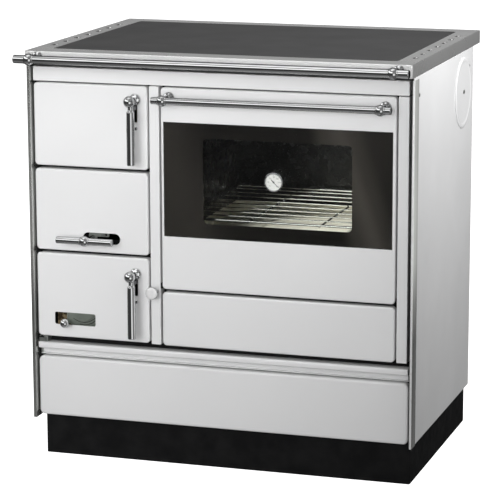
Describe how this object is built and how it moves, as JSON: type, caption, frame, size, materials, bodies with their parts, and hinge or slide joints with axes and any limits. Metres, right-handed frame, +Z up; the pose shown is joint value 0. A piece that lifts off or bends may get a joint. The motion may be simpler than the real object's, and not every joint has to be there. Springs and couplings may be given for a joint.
{
  "type": "wood cookstove",
  "caption": "Free-standing wood-burning cookstove with hob plate, glazed drop-down oven door, fire and ash doors, riddling handle, towel rail and storage drawer.",
  "frame": {"origin": "on the floor, under the middle of the bounding box (plinth underside is z = 0)", "axes": "+X to the right when facing the doors, -Y out of the front, +Z up"},
  "size_m": [0.808, 0.658, 0.85],
  "materials": {
    "white_enamel": "glossy white vitreous enamel on pressed sheet steel, rounded edges",
    "black_paint": "satin black heat-proof paint",
    "zinc": "galvanised sheet steel",
    "tray_steel": "bright tinned sheet steel",
    "chrome": "polished chrome plating",
    "brushed_steel": "stainless sheet, fine satin grind along its length",
    "hob_plate": "ground and blackened steel cooking plate, matt dark grey",
    "cast_iron": "raw cast iron and heavy steel plate, heat-darkened",
    "firebrick": "pale fireclay brick, slightly sooty",
    "dark_enamel": "dark speckled oven enamel",
    "glass": "tinted heat-proof float glass",
    "glass_print": "brown-black masking plate behind the door glass"
  },
  "bodies": {
    "root": {"plinth": "black_paint", "base_plate": "zinc", "side_panel_left": "white_enamel", "side_panel_right": "white_enamel", "edge_trim_left": "chrome", "edge_trim_right": "chrome", "side_cover": "white_enamel", "rear_panel": "zinc", "hob_frame": "brushed_steel", "hob_plate": "hob_plate", "towel_rail": "chrome", "rail_bracket_left": "chrome", "rail_bracket_right": "chrome", "fascia": "white_enamel", "centre_pillar": "white_enamel", "right_pillar": "white_enamel", "middle_panel": "white_enamel", "ledge": "white_enamel", "front_frame": "black_paint", "soot_cover": "cast_iron", "firebox_shell": "cast_iron", "firebrick_left": "firebrick", "firebrick_right": "firebrick", "firebrick_rear": "firebrick", "firebrick_front": "firebrick", "grate": "cast_iron", "ash_pan": "zinc", "oven_liner": "dark_enamel", "smoke_jacket": "cast_iron", "flue_collar": "black_paint", "oven_rack": "chrome", "baking_tray": "tray_steel", "runner_left": "zinc", "runner_right": "zinc"},
    "fire_door": {"fire_door_panel": "white_enamel", "fire_door_inner": "cast_iron", "fire_lever_post": "chrome"},
    "fire_lever": {"fire_lever": "chrome"},
    "ash_door": {"ash_door_panel": "white_enamel", "ash_door_inner": "cast_iron", "ash_lever_post": "chrome"},
    "ash_lever": {"ash_lever": "chrome"},
    "air_shutter": {"air_shutter": "zinc"},
    "riddling": {"riddling_handle": "chrome", "grate_slider": "cast_iron"},
    "air_pull": {"air_pull_knob": "chrome", "air_pull_rod": "zinc"},
    "oven_door": {"oven_door_shell": "white_enamel", "oven_door_glass": "glass", "oven_door_mask": "glass_print", "oven_door_liner": "dark_enamel", "oven_inner_glass": "glass", "oven_handle": "chrome", "oven_handle_bracket_left": "chrome", "oven_handle_bracket_right": "chrome", "thermometer_case": "chrome"},
    "thermometer_needle": {"thermometer_needle": "black_paint"},
    "lower_cover": {"lower_cover": "white_enamel"},
    "drawer": {"drawer_front": "white_enamel", "drawer_box": "zinc"}
  },
  "joints": [
    {"name": "fire_door_hinge", "type": "hinge", "parent": "root", "child": "fire_door", "pos_m": [-0.3845, -0.245, 0.7], "axis": [0, 0, -1], "range_deg": [0, 90]},
    {"name": "fire_lever_tilt", "type": "hinge", "parent": "fire_door", "child": "fire_lever", "pos_m": [-0.172, -0.287, 0.757], "axis": [-1, 0, 0], "range_deg": [0, 28]},
    {"name": "ash_door_hinge", "type": "hinge", "parent": "root", "child": "ash_door", "pos_m": [-0.3845, -0.245, 0.346], "axis": [0, 0, -1], "range_deg": [0, 90]},
    {"name": "ash_lever_tilt", "type": "hinge", "parent": "ash_door", "child": "ash_lever", "pos_m": [-0.175, -0.287, 0.402], "axis": [-1, 0, 0], "range_deg": [0, 28]},
    {"name": "air_shutter_slide", "type": "slide", "parent": "ash_door", "child": "air_shutter", "axis": [1, 0, 0], "range_m": [-0.024, 0.03]},
    {"name": "riddling_slide", "type": "slide", "parent": "root", "child": "riddling", "axis": [1, 0, 0], "range_m": [0, 0.048]},
    {"name": "air_pull_slide", "type": "slide", "parent": "root", "child": "air_pull", "axis": [0, -1, 0], "range_m": [0, 0.035]},
    {"name": "oven_door_hinge", "type": "hinge", "parent": "root", "child": "oven_door", "pos_m": [0.12185, -0.244, 0.38], "axis": [1, 0, 0], "range_deg": [0, 90]},
    {"name": "thermometer_turn", "type": "hinge", "parent": "oven_door", "child": "thermometer_needle", "pos_m": [0.1181, -0.2595, 0.6063], "axis": [0, 1, 0], "range_deg": [-100, 170]},
    {"name": "lower_cover_slide", "type": "slide", "parent": "root", "child": "lower_cover", "axis": [0, -1, 0], "range_m": [0, 0.06]},
    {"name": "drawer_slide", "type": "slide", "parent": "root", "child": "drawer", "axis": [0, -1, 0], "range_m": [0, 0.4]}
  ]
}
